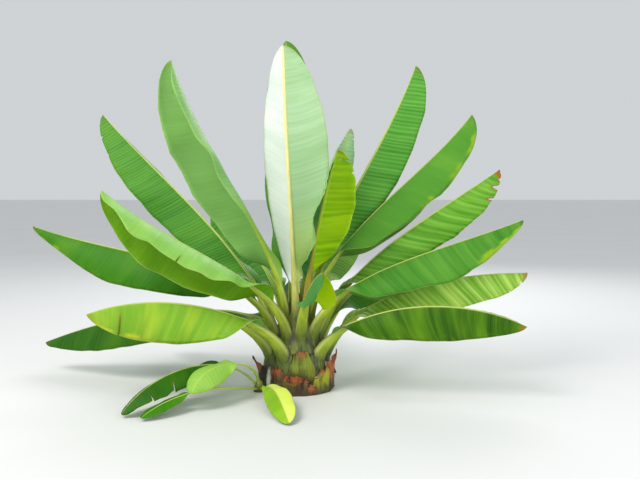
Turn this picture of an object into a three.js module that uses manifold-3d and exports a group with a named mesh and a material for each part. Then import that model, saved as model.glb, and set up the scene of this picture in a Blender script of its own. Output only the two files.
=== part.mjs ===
// A rock banana plant: one short, swollen trunk of packed leaf sheaths, a shuttlecock of paddle leaves
// that stand and arch out of it on channelled stalks, the dead bases of cut leaves round its foot, and
// one small offshoot beside it whose own leaves flop to the ground.
//
// Millimetres. +Z is up and the origin is the middle of the flat cut at ground level. +X is to the right
// and +Y away, for a viewer in front. An azimuth is in degrees from +X towards +Y, so 270 and -90 face
// the viewer.
import * as THREE from "three";
import { mergeVertices } from "three/addons/utils/BufferGeometryUtils.js";
import Module from "manifold-3d";

const wasm = await Module();
wasm.setup();

// Driving dimensions of the trunk
const trunkFootRadius = 258; // swollen base, at the ground
const trunkHeight = 720; // hidden growing point between the innermost stalks
const trunkTaperStart = 1.6; // a higher value keeps the foot stout for longer
const trunkTaperEnd = 0.75; // a lower value rounds the top more
const trunkSides = 24;
const trunkRings = 10;
const clearance = 0.3; // between pieces that meet

// Leaves rise from the trunk in three rings. The outer ring is the oldest: its feet are lowest, its stalks
// are the broadest, and it bends over so far at the neck that stalk and blade are separate pieces.
const rings = {
  outer: { footHeight: 235, footRise: 70, stalkHalf: 70, neckHalf: 42, keel: 36, petiole: 290, bent: true },
  middle: { footHeight: 385, footRise: 76, stalkHalf: 53, neckHalf: 36, keel: 32, petiole: 300 },
  inner: { footHeight: 535, footRise: 83, stalkHalf: 37, neckHalf: 29, keel: 28, petiole: 250 },
};

// foot and azimuth: where a leaf's stalk stands and where its tip points. reach and height: the tip's
// distance from the axis and above the ground. nod: the climb of the last stretch, in degrees.
// left and right: how far each half of the blade hangs below level, in degrees, for a viewer at the
// foot who looks along the leaf at its shiny side.
const leaves = {
  leaf_left_lowest: { ring: "outer", foot: 203, azimuth: 165, reach: 2120, height: 232, nod: -22,
    width: 520, left: 50, right: 35 },
  leaf_left_low: { ring: "outer", foot: 243, azimuth: 199, reach: 1510, height: 622, nod: -20,
    width: 580, left: 80, right: 42 },
  leaf_left_long: { ring: "middle", foot: 207, azimuth: 175, reach: 2010, height: 1190, nod: 19,
    width: 540, left: 70, right: 20 },
  leaf_left_tented: { ring: "middle", foot: 246, azimuth: 199, reach: 1390, height: 1471, nod: 43,
    width: 560, left: 36, right: 70 },
  leaf_left_ribbed: { ring: "middle", foot: 169, azimuth: 163, reach: 1602, height: 2049, nod: 46,
    width: 540, left: 70, right: 20 },
  leaf_left_tall: { ring: "inner", foot: 225, azimuth: 205, reach: 931, height: 2355, nod: 72,
    width: 545, left: 30, right: 70 },
  leaf_front_tallest: { ring: "inner", foot: 266, azimuth: 256, reach: 347, height: 2464, nod: 88,
    width: 580, left: -8, right: -46 },
  leaf_back_tallest: { ring: "inner", foot: 110, azimuth: 105, reach: 347, height: 2600, nod: 86,
    width: 520, left: 58, right: 0 },
  leaf_front_sunlit: { ring: "inner", foot: 304, azimuth: 302, reach: 550, height: 1750, nod: 60,
    width: 450, left: 34, right: 48, petiole: 290 },
  leaf_back_upright: { ring: "inner", foot: 71.5, azimuth: 60, reach: 829, height: 1954, nod: 60,
    width: 280, left: 30, right: 56, petiole: 350 },
  leaf_right_tall: { ring: "inner", foot: 28, azimuth: 31.5, reach: 1090, height: 2443, nod: 66,
    width: 520, left: 70, right: 52, petiole: 350 },
  leaf_right_upper: { ring: "inner", foot: -18, azimuth: 16, reach: 1401, height: 2046, nod: 50,
    width: 520, left: 76, right: 62, petiole: 350 },
  leaf_right_pleated: { ring: "middle", foot: -9, azimuth: 6, reach: 1526, height: 1616, nod: 34,
    width: 520, left: 20, right: 57 },
  leaf_right_long: { ring: "middle", foot: -45, azimuth: -8, reach: 1626, height: 1257, nod: 22,
    width: 540, left: 62, right: 66 },
  leaf_right_striped: { ring: "outer", foot: 2, azimuth: 12, reach: 1833, height: 812, nod: -2,
    width: 500, left: 20, right: 60, petiole: 235 },
  leaf_right_low: { ring: "outer", foot: -41, azimuth: -18, reach: 1662, height: 541, nod: -26,
    width: 500, left: 20, right: 82, petiole: 215 },
  leaf_front_short: { ring: "middle", foot: 281, azimuth: 283, reach: 855, height: 945, nod: 8,
    width: 420, left: 50, right: 84 },
  leaf_back_low_right: { ring: "outer", foot: 46, azimuth: 52, reach: 1600, height: 700, nod: -16,
    width: 500, left: 40, right: 50 },
  leaf_back_low: { ring: "outer", foot: 88, azimuth: 92, reach: 1650, height: 620, nod: -18,
    width: 500, left: 50, right: 40 },
  leaf_back_low_left: { ring: "outer", foot: 130, azimuth: 140, reach: 1600, height: 330, nod: -20,
    width: 500, left: 60, right: 30 },
  leaf_back_high_right: { ring: "middle", foot: 62, azimuth: 72, reach: 1450, height: 1300, nod: 24,
    width: 500, left: 40, right: 40 },
  leaf_back_high_left: { ring: "middle", foot: 120, azimuth: 120, reach: 1500, height: 1340, nod: 28,
    width: 500, left: 50, right: 30 },
};

// Bases of old cut leaves, each a shield that stands on the trunk's flank and leans off it. flare: how far
// its top stands off. point: how much narrower its top is than its foot, from 0 to 1.
const husks = {
  husk_left_flap: { azimuth: 192, halfAngle: 19, bottom: 96, top: 240, flare: 92, point: 0.7 },
  husk_front_left: { azimuth: 237, halfAngle: 17, bottom: 0, top: 215, flare: 40, point: 0.35 },
  husk_front_upper: { azimuth: 280, halfAngle: 22, bottom: 120, top: 312, flare: 14, point: 0.3 },
  husk_front_lower: { azimuth: 271, halfAngle: 17, bottom: 0, top: 160, flare: 45, point: 0.3 },
  husk_front_scrap: { azimuth: 294, halfAngle: 6, bottom: 0, top: 70, flare: 18, point: 0.4 },
  husk_right: { azimuth: 316, halfAngle: 15, bottom: 0, top: 203, flare: 34, point: 0.35 },
  husk_right_flap: { azimuth: 343, halfAngle: 12, bottom: 10, top: 300, flare: 78, point: 0.7 },
  husk_back_right: { azimuth: 24, halfAngle: 17, bottom: 0, top: 180, flare: 34, point: 0.3 },
  husk_back: { azimuth: 62, halfAngle: 18, bottom: 0, top: 160, flare: 40, point: 0.35 },
  husk_back_upper: { azimuth: 98, halfAngle: 15, bottom: 0, top: 195, flare: 30, point: 0.3 },
  husk_back_left: { azimuth: 136, halfAngle: 18, bottom: 0, top: 170, flare: 36, point: 0.35 },
};
const huskThickness = 14;
const huskTaper = 0.5; // thickness at the top, as a share of the foot's
const huskLean = 1.6; // higher keeps it against the trunk for longer before it leans off
const huskSides = 4;
const huskRings = 4;

// The offshoot: a thin stem against the trunk's foot, and four leaves that flop outwards to the ground.
// out and height place a leaf's tip from the stem's middle, along azimuth and above the ground.
const offshoot = { azimuth: 205, distance: 300, radius: 44, height: 90, sides: 12, rings: 6 };
const offshootStalks = { stalkHalf: 17, neckHalf: 11, keel: 12, bent: true };
const offshootLeaves = {
  offshoot_leaf_long: { foot: 186, azimuth: 220.5, out: 1110, height: 28, nod: -50,
    footHeight: 54, footRise: 54, petiole: 310, width: 270, left: 40, right: 24 },
  offshoot_leaf_pale: { foot: 249, azimuth: 236, out: 725, height: 132, nod: -66,
    footHeight: 72, footRise: 82, petiole: 345, width: 240, left: 54, right: 6 },
  offshoot_leaf_low: { foot: 240, azimuth: 228.5, out: 1060, height: 24, nod: -26,
    footHeight: 26, footRise: 14, petiole: 640, width: 130, left: 26, right: 10 },
  offshoot_leaf_front: { foot: 292, azimuth: 285.5, out: 925, height: 20, nod: -22,
    footHeight: 26, footRise: 24, petiole: 120, width: 190, left: -2, right: 40 },
};

const radians = THREE.MathUtils.degToRad;
const mix = THREE.MathUtils.lerp;
const ease = THREE.MathUtils.smoothstep;
const series = (count, make) => Array.from({ length: count }, (_, k) => make(k));

function trunkRadius(height) {
  const share = Math.min(1, height / trunkHeight);
  return trunkFootRadius * (1 - share ** trunkTaperStart) ** trunkTaperEnd;
}

// A point at a distance from an upright axis through base, at an azimuth and a height.
function around(azimuth, distance, height, base = { x: 0, y: 0 }) {
  const a = radians(azimuth);
  return new THREE.Vector3(base.x + distance * Math.cos(a), base.y + distance * Math.sin(a), height);
}

function heading(azimuth, rise) {
  return around(azimuth, Math.cos(radians(rise)), Math.sin(radians(rise)));
}

// Skins a run of sections. Each section is a list of top points and a list of bottom points, of equal
// count, both from the left edge to the right edge.
function skin(sections) {
  const half = sections[0].top.length;
  const count = 2 * half;
  const points = sections.flatMap(({ top, bottom }) => [...top, ...[...bottom].reverse()]);
  const triangles = [];
  for (let s = 0; s + 1 < sections.length; s++) {
    for (let k = 0; k < count; k++) {
      const a = s * count + k;
      const b = s * count + ((k + 1) % count);
      triangles.push(a, b, b + count, a, b + count, a + count);
    }
  }
  const last = (sections.length - 1) * count;
  for (let k = 0; k + 1 < half; k++) {
    const under = count - 1 - k;
    triangles.push(k, under, under - 1, k, under - 1, k + 1);
    triangles.push(last + k, last + under - 1, last + under, last + k, last + k + 1, last + under - 1);
  }
  const geometry = new THREE.BufferGeometry();
  geometry.setAttribute("position", new THREE.Float32BufferAttribute(points.flatMap((p) => p.toArray()), 3));
  geometry.setIndex(triangles);
  return geometry;
}

function solidOf(geometry) {
  const bare = geometry.clone();
  bare.deleteAttribute("normal");
  bare.deleteAttribute("uv");
  const merged = mergeVertices(bare, 1e-3);
  const mesh = new wasm.Mesh({
    numProp: 3,
    vertProperties: merged.attributes.position.array,
    triVerts: new Uint32Array(merged.index.array),
  });
  return new wasm.Manifold(mesh);
}

function geometryOf(solid) {
  const mesh = solid.getMesh();
  const geometry = new THREE.BufferGeometry();
  geometry.setAttribute("position", new THREE.BufferAttribute(mesh.vertProperties, mesh.numProp));
  geometry.setIndex(new THREE.BufferAttribute(mesh.triVerts, 1));
  return geometry;
}

// What is left of a geometry once other solids are cut from it: its largest piece.
function cutBy(geometry, cutters) {
  const left = cutters.reduce((solid, cutter) => solid.subtract(cutter), solidOf(geometry));
  const pieces = left.decompose().sort((a, b) => b.volume() - a.volume());
  return geometryOf(pieces[0]);
}

// A stem of revolution that stands on the ground: a flat cut below and a closed, domed top. grow offsets
// it all round, which makes the cutter that keeps its neighbours clear.
function stemGeometry(radiusAt, height, sides, steps, grow = 0) {
  const profile = [new THREE.Vector2(0, -grow), new THREE.Vector2(radiusAt(0) + grow, -grow)];
  for (let k = 1; k < steps; k++) {
    const z = (height * k) / steps;
    profile.push(new THREE.Vector2(radiusAt(z) + grow, z));
  }
  profile.push(new THREE.Vector2(0, height + grow));
  return new THREE.LatheGeometry(profile, sides).rotateX(Math.PI / 2);
}

function material(hue, saturation, lightness, roughness) {
  const color = new THREE.Color().setHSL(hue / 360, saturation, lightness);
  return new THREE.MeshStandardMaterial({ color, roughness });
}
const trunkMaterial = () => material(76, 0.36, 0.3, 0.7);
const stalkMaterial = () => material(78, 0.5, 0.4, 0.55);
const bladeMaterial = () => material(106, 0.5, 0.34, 0.45);
const huskMaterial = () => material(22, 0.55, 0.32, 0.85);

const plant = new THREE.Group();
function add(name, geometry, finish) {
  const mesh = new THREE.Mesh(geometry, finish);
  mesh.name = name;
  plant.add(mesh);
}

// Trunk
const trunkStem = (grow) => stemGeometry(trunkRadius, trunkHeight, trunkSides, trunkRings, grow);
add("trunk", trunkStem(0), trunkMaterial());
const trunkCutter = solidOf(trunkStem(clearance));

// The rib of a leaf: one cubic curve that leaves its foot steeply and ends at its tip with the given nod.
// spring and glide are the lengths of its two handles, as shares of the straight way from foot to tip.
function ribCurve({ start, foot, footRise, tip, azimuth, nod, spring = 0.3, glide = 0.36 }) {
  const chord = start.distanceTo(tip);
  const leave = start.clone().addScaledVector(heading(foot, footRise), spring * chord);
  const arrive = tip.clone().addScaledVector(heading(azimuth, nod), -glide * chord);
  return new THREE.CubicBezierCurve3(start, leave, arrive, tip);
}

// Half the width of a blade, as a share of its most, at a share of the way from its base to its tip.
const widestShift = 1.15; // above 1 puts the widest place past the middle
const outlineFullness = 0.58; // lower is more square at both ends
function bladeOutline(share) {
  const s = share ** widestShift;
  return (4 * s * (1 - s)) ** outlineFullness;
}

const stalkSteps = 4;
const bladeSteps = 13;
const tipShare = 0.996; // where the solid blade is cut off, just short of its point
const stalkFold = -38; // the stalk is a channel: both its sides are raised
const foldRunIn = 0.22; // share of the blade over which the channel opens into the hanging halves
const leafThickness = 0.01; // of the leaf's whole length
const stalkThickness = 0.66; // of the stalk's half width, at its foot
const tipThinness = 0.5; // thickness at the tip, as a share of the blade's
const tipThinning = 4; // higher keeps the blade's thickness for longer
const camber = 0.06; // rise of the middle of each half above a straight line, as a share of its width
const spineTip = 0.25; // half width that the stalk's own run keeps at the tip, as a share of the neck's
const ribShare = 0.9; // half width of the rib on the underside, as a share of the neck's
const ribTip = 0.4; // the same at the tip, as a share of that at the neck
const ribMost = 0.55; // the most that the rib takes of a half's width
const keelTip = 0.2; // depth of the keel at the tip, as a share of that at the foot
const keelLeast = 1.15; // least depth of the keel, in half thicknesses
const creaseDepth = 0.9; // height of the crease along the top, in half thicknesses

// Where a leaf's sections stand along its rib, as shares of its length. They crowd at both ends of the
// blade, where its outline turns fastest.
function sectionShares(neck, gap, bent) {
  const stalk = series(stalkSteps, (k) => (neck * k) / stalkSteps);
  if (bent) stalk.push(neck - gap);
  const blade = series(bladeSteps + 1, (k) => {
    const share = tipShare * (0.5 - 0.5 * Math.cos((Math.PI * k) / bladeSteps));
    return neck + (1 - neck) * share;
  });
  return [...stalk, ...blade];
}

function leafSections(leaf) {
  const curve = ribCurve(leaf);
  const length = curve.getLength();
  const neck = leaf.petiole / length;
  const footHalf = (stalkThickness * leaf.stalkHalf) / 2;
  const bladeHalf = (leafThickness * length) / 2;
  return sectionShares(neck, clearance / length, leaf.bent).map((share) => {
    const centre = curve.getPointAt(share);
    const along = curve.getTangentAt(share);
    const side = heading(mix(leaf.foot, leaf.azimuth, share) - 90, 0);
    side.addScaledVector(along, -side.dot(along)).normalize();
    const upper = new THREE.Vector3().crossVectors(side, along);
    const down = Math.min(1, share / neck);
    const t = Math.max(0, (share - neck) / (1 - neck));
    const open = ease(t, 0, foldRunIn);
    const spine = mix(leaf.stalkHalf, leaf.neckHalf, down) * mix(1, spineTip, t);
    const width = Math.hypot(spine, (leaf.width / 2) * bladeOutline(t));
    const half = mix(mix(footHalf, bladeHalf, down), bladeHalf * tipThinness, t ** tipThinning);
    const keel = Math.max(half * keelLeast, leaf.keel * mix(1, keelTip, t));
    const rib = Math.min(width * ribMost, leaf.neckHalf * ribShare * mix(1, ribTip, t));
    const arm = (sign, drop) => {
      const angle = sign * radians(mix(stalkFold, drop, open));
      const out = side.clone().multiplyScalar(sign).applyAxisAngle(along, angle);
      const face = upper.clone().applyAxisAngle(along, angle);
      const at = (reach, lift) => centre.clone().addScaledVector(out, reach).addScaledVector(face, lift);
      return {
        edgeTop: at(width, half),
        middleTop: at(width / 2, half + camber * width * open),
        edgeBottom: at(width, -half),
        ribBottom: at(rib, -half),
      };
    };
    const left = arm(-1, leaf.left);
    const right = arm(1, leaf.right);
    const crease = centre.clone().addScaledVector(upper, half * creaseDepth);
    const keelPoint = centre.clone().addScaledVector(upper, -keel);
    return {
      top: [left.edgeTop, left.middleTop, crease, right.middleTop, right.edgeTop],
      bottom: [left.edgeBottom, left.ribBottom, keelPoint, right.ribBottom, right.edgeBottom],
    };
  });
}

// A leaf is one piece, or two where it bends over: its stalk, and its blade from the neck on.
function addLeaf(name, leaf, cutters) {
  const sections = leafSections(leaf);
  if (!leaf.bent) {
    add(name, cutBy(skin(sections), cutters), bladeMaterial());
    return;
  }
  add(`${name}_stalk`, cutBy(skin(sections.slice(0, stalkSteps + 1)), cutters), stalkMaterial());
  add(`${name}_blade`, cutBy(skin(sections.slice(stalkSteps + 1)), cutters), bladeMaterial());
}

const footSink = 12; // how far a stalk's middle starts inside the trunk's flank
for (const [name, leaf] of Object.entries(leaves)) {
  const shape = { ...rings[leaf.ring], ...leaf };
  shape.start = around(leaf.foot, trunkRadius(shape.footHeight) - footSink, shape.footHeight);
  shape.tip = around(leaf.azimuth, leaf.reach, leaf.height);
  addLeaf(name, shape, [trunkCutter]);
}

// Old leaf bases
function huskSections(husk) {
  return series(huskRings + 1, (k) => {
    const share = k / huskRings;
    const height = mix(husk.bottom, husk.top, share);
    const inner = trunkRadius(height) + clearance + husk.flare * share ** huskLean;
    const outer = inner + huskThickness * mix(1, huskTaper, share);
    const halfAngle = husk.halfAngle * (1 - husk.point * share ** 2);
    const arc = (radius) =>
      series(huskSides + 1, (j) => {
        const turn = halfAngle * (1 - (2 * j) / huskSides);
        return around(husk.azimuth + turn, radius, height);
      });
    return { top: arc(inner), bottom: arc(outer) };
  });
}
for (const [name, husk] of Object.entries(husks)) {
  add(name, cutBy(skin(huskSections(husk)), [trunkCutter]), huskMaterial());
}

// Offshoot
const offshootFoot = around(offshoot.azimuth, offshoot.distance, 0);
const offshootRadius = (height) => offshoot.radius * Math.sqrt(1 - (height / offshoot.height) ** 2);
function offshootStem(grow) {
  const stem = stemGeometry(offshootRadius, offshoot.height, offshoot.sides, offshoot.rings, grow);
  return stem.translate(offshootFoot.x, offshootFoot.y, 0);
}
add("offshoot_stem", cutBy(offshootStem(0), [trunkCutter]), stalkMaterial());
const offshootCutter = solidOf(offshootStem(clearance));
const offshootSink = 4; // the same as footSink, on the thin stem
for (const [name, leaf] of Object.entries(offshootLeaves)) {
  const shape = { ...offshootStalks, ...leaf };
  const stand = offshootRadius(leaf.footHeight) - offshootSink;
  shape.start = around(leaf.foot, stand, leaf.footHeight, offshootFoot);
  shape.tip = around(leaf.azimuth, leaf.out, leaf.height, offshootFoot);
  addLeaf(name, shape, [offshootCutter, trunkCutter]);
}

export default plant;
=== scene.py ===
# %% [markdown]
# # A rock banana plant
#
# A short swollen trunk carries a shuttlecock of big paddle leaves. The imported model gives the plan: where
# each stalk stands, how far each leaf reaches and how its two halves hang. This lesson dresses that plan
# with thin, pleated, wavy blades, channelled stalks, sheaths and dry leaf bases, and paints them with
# nodes. All lengths are in metres, +Z is up, +X is to the right and +Y is away from the viewer.

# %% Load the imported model
import math
import bmesh
import bpy
import numpy as np
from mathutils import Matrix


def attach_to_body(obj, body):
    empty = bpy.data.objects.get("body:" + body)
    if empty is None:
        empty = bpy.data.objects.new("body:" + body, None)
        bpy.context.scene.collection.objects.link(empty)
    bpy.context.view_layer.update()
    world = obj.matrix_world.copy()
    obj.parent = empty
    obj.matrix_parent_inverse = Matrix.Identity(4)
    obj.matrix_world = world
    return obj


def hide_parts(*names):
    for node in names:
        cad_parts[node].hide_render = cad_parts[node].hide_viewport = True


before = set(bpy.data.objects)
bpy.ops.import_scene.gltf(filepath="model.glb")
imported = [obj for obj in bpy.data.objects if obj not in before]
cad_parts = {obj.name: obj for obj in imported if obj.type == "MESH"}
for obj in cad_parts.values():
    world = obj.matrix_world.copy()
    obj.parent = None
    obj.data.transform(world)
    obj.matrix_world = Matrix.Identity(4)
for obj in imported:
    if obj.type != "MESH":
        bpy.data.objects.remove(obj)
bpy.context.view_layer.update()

# %% [markdown]
# ## Helpers for materials
#
# A finish is a small network of nodes: noises, and values that the piece's points carry, are stretched,
# stepped and mixed into a colour, a roughness and a height. The nodes could be placed by hand in the
# editor, but one short function for each kind keeps the networks below readable. A network that several
# materials share becomes a node group, and the Principled BSDF stays in each material.


# %% Node helpers
def node(tree, kind, inputs=None, **settings):
    """Adds a node. An input is a plain value, or another node's output, which is linked to it."""
    made = tree.nodes.new("ShaderNode" + kind)
    for label, value in settings.items():
        setattr(made, label, value)
    for label, value in (inputs or {}).items():
        if isinstance(value, bpy.types.NodeSocket):
            tree.links.new(value, made.inputs[label])
        else:
            made.inputs[label].default_value = value
    return made


def mixed(tree, share, low, high):
    return node(tree, "Mix", {0: share, 6: low, 7: high}, data_type="RGBA").outputs[2]


def sums(tree, operation, first, second=0.0, third=0.0):
    inputs = {0: first, 1: second, 2: third}
    return node(tree, "Math", inputs, operation=operation).outputs[0]


def times(tree, first, second):
    return sums(tree, "MULTIPLY", first, second)


def between(tree, value, low, high, to_low=0.0, to_high=1.0):
    """A soft step: to_low where value is under low, to_high where it is over high."""
    inputs = {0: value, 1: low, 2: high, 3: to_low, 4: to_high}
    return node(tree, "MapRange", inputs, interpolation_type="SMOOTHSTEP").outputs[0]


def noise(tree, place, scale, detail=3.0, roughness=0.55, squeeze=None):
    """Cloudy noise. A small number in squeeze draws the pattern out that way, such as along a vein."""
    if squeeze:
        place = node(tree, "Mapping", {"Vector": place, "Scale": squeeze}).outputs[0]
    inputs = {"Vector": place, "Scale": scale, "Detail": detail, "Roughness": roughness}
    return node(tree, "TexNoise", inputs).outputs["Fac"]


def object_place(tree):
    return node(tree, "TexCoord").outputs["Object"]


def chart_of(tree):
    """The piece's own map, in metres along and across it."""
    return node(tree, "UVMap", uv_map="leaf").outputs[0]


def carried(tree, *labels):
    """Values that the piece's points carry."""
    return [node(tree, "Attribute", attribute_name=label).outputs["Fac"] for label in labels]


trial = bpy.data.node_groups.new("trial", "ShaderNodeTree")
noise(trial, object_place(trial), 5.0, squeeze=(1, 0.1, 1))
print("a stretched noise takes", len(trial.nodes), "nodes and", len(trial.links), "links")
bpy.data.node_groups.remove(trial)


# %% Groups and materials
def paint(value):
    """Turns 0 to 255 screen values into the linear light that a shader wants, and leaves a number alone."""
    if isinstance(value, float):
        return value
    screen = np.array(value) / 255
    linear = np.where(screen < 0.04045, screen / 12.92, ((screen + 0.055) / 1.055) ** 2.4)
    return (*linear.tolist(), 1)


def effect(name, inputs):
    """A shader node group with named inputs, which puts out a colour, a roughness and a height."""
    made = bpy.data.node_groups.new(name, "ShaderNodeTree")
    for label, value in inputs.items():
        kind = "NodeSocketFloat" if isinstance(value, float) else "NodeSocketColor"
        made.interface.new_socket(label, in_out="INPUT", socket_type=kind).default_value = paint(value)
    for label, kind in (("Colour", "Color"), ("Roughness", "Float"), ("Height", "Float")):
        made.interface.new_socket(label, in_out="OUTPUT", socket_type="NodeSocket" + kind)
    return made, made.nodes.new("NodeGroupInput").outputs, made.nodes.new("NodeGroupOutput").inputs


def put_out(tree, made, colour, roughness, height):
    """Links a group's three results to its outputs."""
    tree.links.new(colour, made["Colour"])
    tree.links.new(roughness, made["Roughness"])
    tree.links.new(height, made["Height"])


def coated(name, group, values, bump, specular=0.5):
    """A material with a group placed in it with its own values; bump is its relief in metres."""
    material = bpy.data.materials.new(name)
    material.use_nodes = True
    tree = material.node_tree
    shader = tree.nodes["Principled BSDF"].inputs
    shader["Specular IOR Level"].default_value = specular
    placed = tree.nodes.new("ShaderNodeGroup")
    placed.node_tree = group
    for label, value in values.items():
        placed.inputs[label].default_value = paint(value)
    tree.links.new(placed.outputs["Colour"], shader["Base Color"])
    tree.links.new(placed.outputs["Roughness"], shader["Roughness"])
    raised = node(tree, "Bump", {"Height": placed.outputs["Height"], "Distance": bump, "Strength": 1.0})
    tree.links.new(raised.outputs[0], shader["Normal"])
    return material


# Finished materials by name, filled by the cells on finishes.
looks = {}


def finishes(group, labels, rows, specular, bump, own_bumps, prefix=""):
    """A material for each row of a table of looks, with the labels of the row's values."""
    for name, row in rows.items():
        values = dict(zip(labels, row))
        looks[name] = coated(prefix + name, group, values, own_bumps.get(name, bump), specular)
    print(len(rows), "looks made, so there are now", len(looks))


print("a mid green in linear light:", [round(v, 3) for v in paint((84, 142, 48))[:3]])

# %% [markdown]
# ## Camera, floor and light
#
# The camera stands at eye height and looks four degrees down. The crown is lit by one broad window-like
# lamp from the upper left, a weaker one from the right and one behind it, which keeps shadows soft and
# lets the pale undersides read. Lamps could be small and many, but a few big ones give the even light of
# a studio with less noise.

# %% Camera
CAMERA_PLACE = (0.17, -6.25, 1.54)
CAMERA_TILT = 4
CROWN_MIDDLE = (0, 0, 1.2)
camera = bpy.data.objects.new("camera", bpy.data.cameras.new("camera"))
bpy.context.scene.collection.objects.link(camera)
camera.location = CAMERA_PLACE
camera.rotation_euler = (math.radians(90 - CAMERA_TILT), 0, 0)
camera.data.lens = 47.8
camera.data.sensor_width = 36
bpy.context.scene.camera = camera
print("camera stands", round(math.dist(camera.location, CROWN_MIDDLE), 2), "m from the crown")

# %% Floor
FLOOR_REACH = 60
FLOOR_PALE = (0.78, 0.78, 0.77, 1)
FLOOR_SHADE = (0.74, 0.745, 0.74, 1)
tree, given, made = effect("floor_mottle", {})
place = object_place(tree)
cloud = noise(tree, place, 0.7)
mottled = mixed(tree, cloud, FLOOR_PALE, FLOOR_SHADE)
put_out(tree, made, mottled, between(tree, cloud, 0.2, 0.8, 0.6, 0.75), noise(tree, place, 90.0))
sheet = bmesh.new()
bmesh.ops.create_grid(sheet, x_segments=2, y_segments=2, size=FLOOR_REACH)
floor = bpy.data.objects.new("floor", bpy.data.meshes.new("floor"))
sheet.to_mesh(floor.data)
sheet.free()
floor.data.materials.append(coated("floor", tree, {}, 0.0002))
bpy.context.scene.collection.objects.link(floor)
print("floor:", tuple(round(v, 1) for v in floor.dimensions))


# %% Lights
def lamp(name, place, size, power, colour=(1, 1, 1)):
    """A round area lamp that is aimed at the middle of the crown."""
    light = bpy.data.lights.new(name, "AREA")
    light.shape = "DISK"
    light.size = size
    light.energy = power
    light.color = colour
    stand = bpy.data.objects.new(name, light)
    stand.location = place
    away = np.array(CROWN_MIDDLE, float) - np.array(place, float)
    flat = math.hypot(away[0], away[1])
    stand.rotation_euler = (math.atan2(flat, -away[2]), 0, math.atan2(away[1], away[0]) - math.pi / 2)
    bpy.context.scene.collection.objects.link(stand)


lamp("key", (-4.5, -4.5, 7.0), 4.5, 520, (1.0, 0.98, 0.93))
lamp("fill", (5.5, -5.0, 3.6), 5.0, 150, (0.98, 0.99, 1.0))
lamp("back", (1.5, 6.5, 5.5), 5.0, 240)
world = bpy.data.worlds.new("studio")
world.use_nodes = True
sky = world.node_tree.nodes["Background"].inputs
sky["Color"].default_value = (0.86, 0.9, 0.93, 1)
sky["Strength"].default_value = 0.72
bpy.context.scene.world = world
bpy.context.scene.view_settings.view_transform = "Standard"

# %% [markdown]
# ## The plan of the plant
#
# The same rule that made the solids is written again here, in metres: the trunk's profile, three rings of
# leaves, and the cubic curve that each midrib follows. Repeating the rule keeps every fine leaf exactly
# on the solid that it dresses; reading the solid's triangles would lose what is rib and what is blade.

# %% Trunk profile and leaf rings
TRUNK_FOOT = 0.258
TRUNK_HEIGHT = 0.72


def trunk_radius(height):
    share = np.clip(np.asarray(height, float) / TRUNK_HEIGHT, 0, 1)
    return TRUNK_FOOT * (1 - share**1.6) ** 0.75


# A stalk leaves the trunk at foot_height with a climb of foot_rise degrees. stalk and neck are its half
# widths at both ends, keel its depth and petiole its length. Its sheath runs on for "below" down the
# trunk, widens there, and stands off the trunk, where the trunk's own surface rises by relief.
rings = {
    "outer": dict(foot_height=0.235, foot_rise=70, stalk=0.07, neck=0.042, keel=0.036, petiole=0.29,
                  below=0.21, widen=1.5, stand=0.002, relief=0.009),
    "middle": dict(foot_height=0.385, foot_rise=76, stalk=0.053, neck=0.036, keel=0.032, petiole=0.3,
                   below=0.3, widen=1.3, stand=-0.003, relief=0.006),
    "inner": dict(foot_height=0.535, foot_rise=83, stalk=0.037, neck=0.029, keel=0.028, petiole=0.25,
                  below=0.25, widen=1.0, stand=-0.006, relief=0.003),
    "offshoot": dict(stalk=0.0135, neck=0.0095, keel=0.009, below=0.02, widen=0.0, stand=0.0),
}
print("trunk radius at 0, 0.3 and 0.6 m:", trunk_radius([0, 0.3, 0.6]).round(3))

# %% [markdown]
# Each leaf has a foot (the azimuth of its stalk on the trunk) and a tip (azimuth, reach and height), the
# climb of its last stretch, its width, and how many degrees each half hangs below level. A tenth number
# is the length of a stalk that differs from its ring's. Azimuths are in degrees, from +X towards +Y.

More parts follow.
